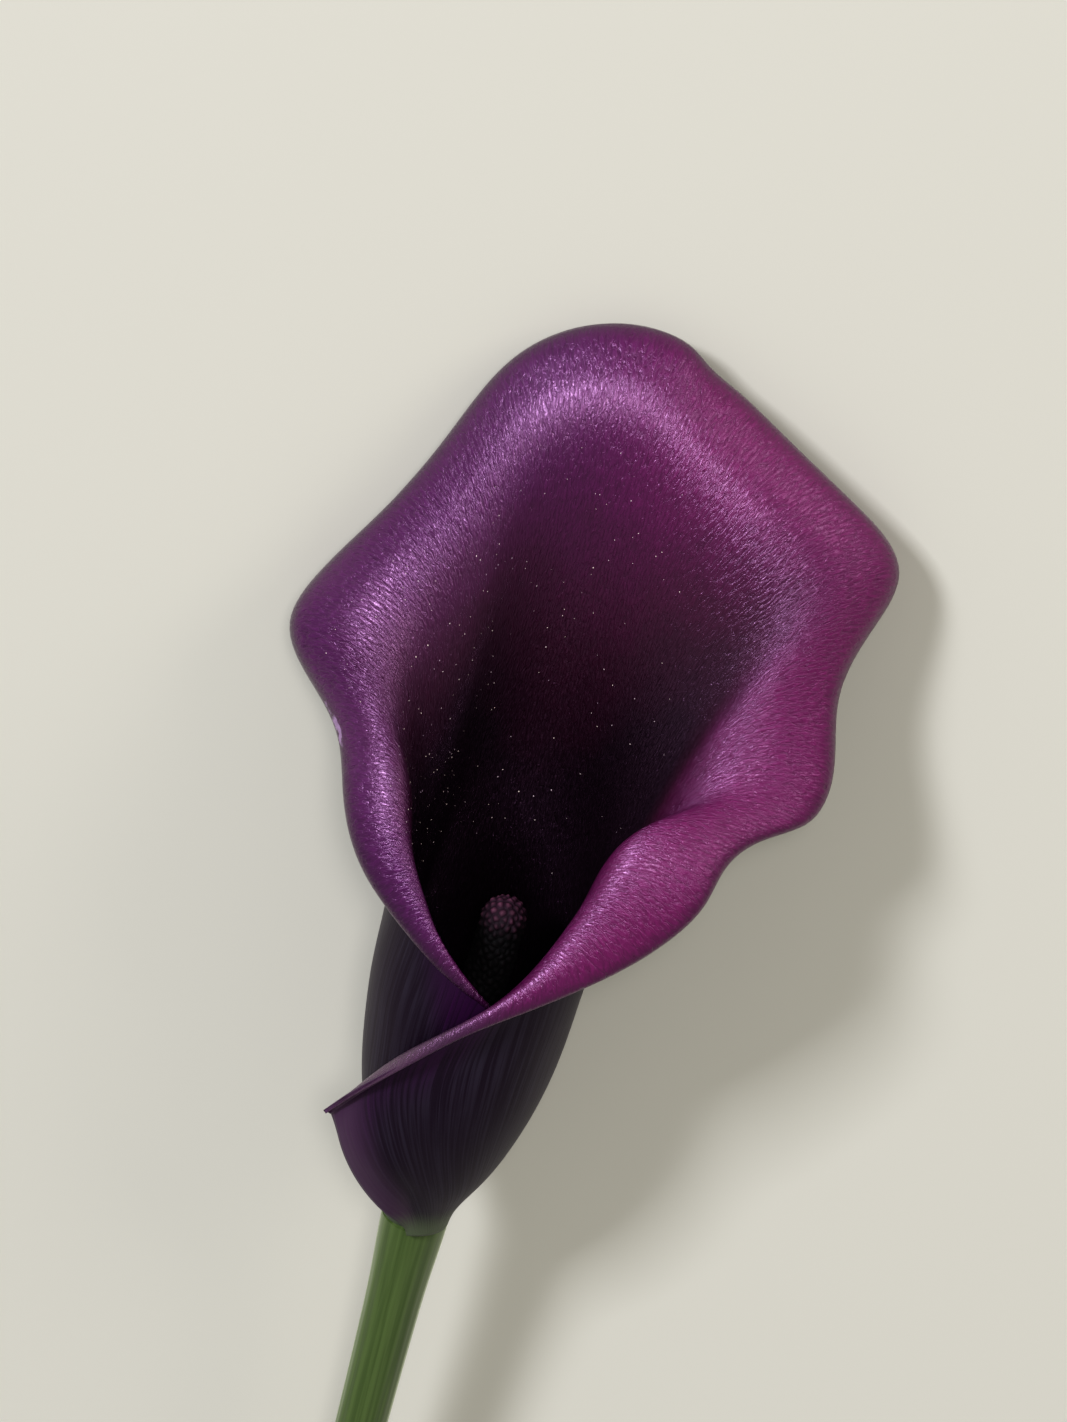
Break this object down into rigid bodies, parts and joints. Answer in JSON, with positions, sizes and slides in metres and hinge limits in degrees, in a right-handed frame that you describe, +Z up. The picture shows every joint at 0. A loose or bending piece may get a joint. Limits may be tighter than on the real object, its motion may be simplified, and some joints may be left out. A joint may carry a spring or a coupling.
{
  "type": "calla lily flower",
  "caption": "Cut calla lily with a dark purple rolled spathe, a spadix in its throat and a bare green stem, lying face up.",
  "frame": {"origin": "centre of the bounding box's bottom, on the surface that the flower lies on", "axes": "+Y along the flower from the cut end of the stem to the tip of the spathe, +Z up, out of the mouth"},
  "size_m": [0.0686, 0.3154, 0.0366],
  "materials": {
    "spathe": "satin plant skin, violet to near black",
    "spadix": "knobbly dark plum florets",
    "stem": "smooth green plant skin with fine ribs"
  },
  "bodies": {
    "root": {"spathe": "spathe", "spadix": "spadix", "stem": "stem"}
  },
  "joints": []
}
